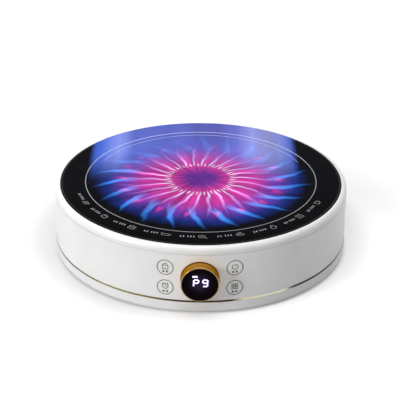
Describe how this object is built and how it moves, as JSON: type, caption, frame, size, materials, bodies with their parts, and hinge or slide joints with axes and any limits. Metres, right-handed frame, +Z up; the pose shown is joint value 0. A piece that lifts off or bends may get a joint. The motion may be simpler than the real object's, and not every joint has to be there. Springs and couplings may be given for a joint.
{
  "type": "electric ceramic tea stove",
  "caption": "Round tabletop electric ceramic stove with a black glass top, white housing, gold trim band, push buttons and a turning ring round a lit readout.",
  "frame": {"origin": "on the body's axis, at table level, in the plane of the feet's undersides", "axes": "+Z up along the body's axis, -Y towards the controls, +X to the right of someone facing them"},
  "size_m": [0.2904, 0.3031, 0.07],
  "materials": {
    "white_housing": "satin moulded",
    "white_button": "satin moulded, printed",
    "gold_trim": "gold plated",
    "gold_knob": "gold anodised, turned",
    "black_ceramic_glass": "polished, printed from below",
    "smoked_window": "polished",
    "silicone_seal": "matt",
    "foot_rubber": "matt",
    "gland_rubber": "matt",
    "zinc_screw": "zinc plated",
    "galvanised_sheet": "galvanised",
    "spring_steel": "rolled",
    "fibre_insulation": "pressed fibre",
    "heating_ribbon": "oxidised",
    "quartz_tube": "fused",
    "steatite": "fired",
    "sensor_steel": "drawn",
    "circuit_board": "solder resist",
    "sink_aluminium": "extruded",
    "black_epoxy": "moulded",
    "blue_relay": "moulded",
    "yellow_capacitor": "moulded",
    "transformer_core": "ferrite, wound bobbin",
    "fuse_metal": "plated",
    "tinned_brass": "tinned",
    "buzzer_black": "moulded",
    "socket_nylon": "moulded",
    "fan_black": "moulded",
    "switch_black": "moulded",
    "display_black": "moulded",
    "inner_black": "moulded",
    "rotor_grey": "moulded",
    "plunger_brown": "moulded",
    "red_lead": "braided silicone",
    "black_lead": "insulated",
    "white_lead": "insulated",
    "grey_cable": "flat ribbon"
  },
  "bodies": {
    "housing": {"base_tray": "white_housing", "side_shell": "white_housing", "top_bezel": "white_housing", "trim_band": "gold_trim", "glass_top": "black_ceramic_glass", "display_window": "smoked_window", "glass_seal": "silicone_seal", "rubber_feet": "foot_rubber", "cord_gland": "gland_rubber", "base_screws": "zinc_screw", "shield_screws": "zinc_screw", "board_screws": "zinc_screw", "fan_screws": "zinc_screw", "control_screws": "zinc_screw", "heat_shield": "galvanised_sheet", "heater_pan": "galvanised_sheet", "leaf_springs": "spring_steel", "insulation_slab": "fibre_insulation", "insulation_ring": "fibre_insulation", "heating_coil": "heating_ribbon", "limiter_rod": "quartz_tube", "limiter_switch": "steatite", "terminal_block": "steatite", "temperature_sensor": "sensor_steel", "main_board": "circuit_board", "control_board": "circuit_board", "heat_sink": "sink_aluminium", "triac": "black_epoxy", "relay": "blue_relay", "filter_capacitor": "yellow_capacitor", "power_transformer": "transformer_core", "fuse_holder": "fuse_metal", "mains_tabs": "tinned_brass", "buzzer": "buzzer_black", "board_sockets": "socket_nylon", "fan_frame": "fan_black", "push_switches": "switch_black", "led_display": "display_black", "display_barrel": "inner_black", "encoder_stator": "inner_black", "heater_leads": "red_lead", "fan_lead": "black_lead", "sensor_lead": "white_lead", "control_cable": "grey_cable"},
    "knob": {"knob_ring": "gold_knob", "knob_sleeve": "inner_black", "encoder_rotor": "rotor_grey"},
    "lock": {"lock_button": "white_button", "lock_plunger": "plunger_brown"},
    "timer": {"timer_button": "white_button", "timer_plunger": "plunger_brown"},
    "power": {"power_button": "white_button", "power_plunger": "plunger_brown"},
    "mode": {"mode_button": "white_button", "mode_plunger": "plunger_brown"},
    "fan": {"fan_impeller": "fan_black"}
  },
  "joints": [
    {"name": "knob_turn", "type": "hinge", "parent": "housing", "child": "knob", "pos_m": [0, -0.15, 0.03724], "axis": [0, 1, 0], "continuous": true},
    {"name": "lock_press", "type": "slide", "parent": "housing", "child": "lock", "axis": [0, 1, 0], "range_m": [0, 0.0008], "stiffness_N_per_m": 800, "springref_m": -0.001},
    {"name": "timer_press", "type": "slide", "parent": "housing", "child": "timer", "axis": [0, 1, 0], "range_m": [0, 0.0008], "stiffness_N_per_m": 800, "springref_m": -0.001},
    {"name": "power_press", "type": "slide", "parent": "housing", "child": "power", "axis": [0, 1, 0], "range_m": [0, 0.0008], "stiffness_N_per_m": 800, "springref_m": -0.001},
    {"name": "mode_press", "type": "slide", "parent": "housing", "child": "mode", "axis": [0, 1, 0], "range_m": [0, 0.0008], "stiffness_N_per_m": 800, "springref_m": -0.001},
    {"name": "fan_spin", "type": "hinge", "parent": "housing", "child": "fan", "pos_m": [0.052, 0.01, 0.015], "axis": [0, 0, 1], "continuous": true}
  ]
}
